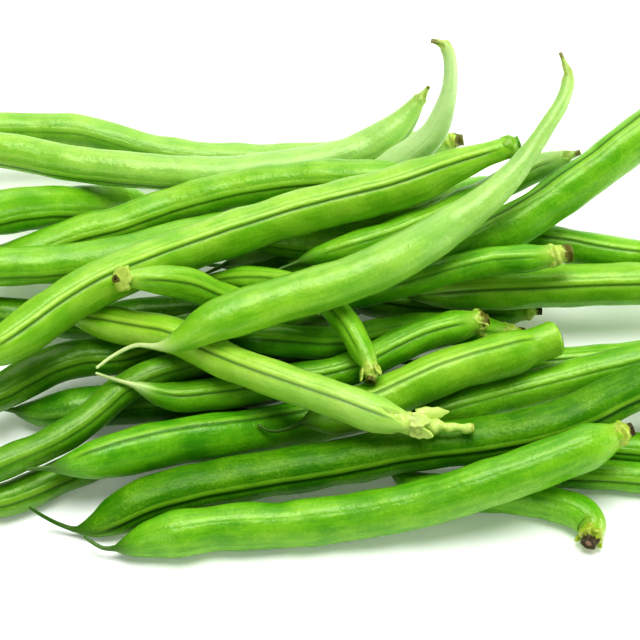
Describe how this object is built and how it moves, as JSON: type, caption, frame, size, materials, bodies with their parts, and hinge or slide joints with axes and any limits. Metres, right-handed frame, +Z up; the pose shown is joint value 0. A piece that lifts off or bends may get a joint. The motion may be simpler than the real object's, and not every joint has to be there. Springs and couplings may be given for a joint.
{
  "type": "green bean bundle",
  "caption": "Loose heap of whole green bean pods lying roughly side by side and across each other, with curled tails and short stem ends.",
  "frame": {"origin": "under the middle of the heap's bounding box, on the floor it lies on", "axes": "+X along the heap to the right, +Y to the back, +Z up"},
  "size_m": [0.1792, 0.1164, 0.05],
  "materials": {
    "fresh_skin": "semi-gloss waxy pod skin, yellow-green",
    "deep_skin": "semi-gloss waxy pod skin, deep green"
  },
  "bodies": {
    "root": {"pod_front_long": "fresh_skin", "pod_front_second": "fresh_skin", "pod_cut_stub": "fresh_skin", "pod_floor_right": "fresh_skin", "pod_floor_inner": "fresh_skin", "pod_short_pointed": "fresh_skin", "pod_ragged_stem": "fresh_skin", "pod_short_hooked": "fresh_skin", "pod_top_crossing": "fresh_skin", "pod_top_long": "fresh_skin", "pod_upper_left": "fresh_skin", "pod_under_top": "fresh_skin", "pod_left_inner": "fresh_skin", "pod_left_stub": "deep_skin", "pod_back_bowed": "fresh_skin", "pod_back_far": "fresh_skin", "pod_standing": "fresh_skin", "pod_upper_right": "fresh_skin", "pod_small_stem": "fresh_skin", "pod_right_inner": "fresh_skin", "pod_right_level": "fresh_skin", "pod_right_shaded": "deep_skin", "pod_floor_back": "fresh_skin", "pod_right_middle": "fresh_skin", "pod_left_broad": "fresh_skin", "pod_floor_left": "deep_skin", "pod_left_rising": "deep_skin", "pod_left_pointed": "deep_skin", "pod_left_tucked": "deep_skin", "pod_small_calyx": "fresh_skin", "pod_inner_shaded": "deep_skin", "pod_behind_top": "fresh_skin", "pod_facing_stem": "fresh_skin"}
  },
  "joints": []
}
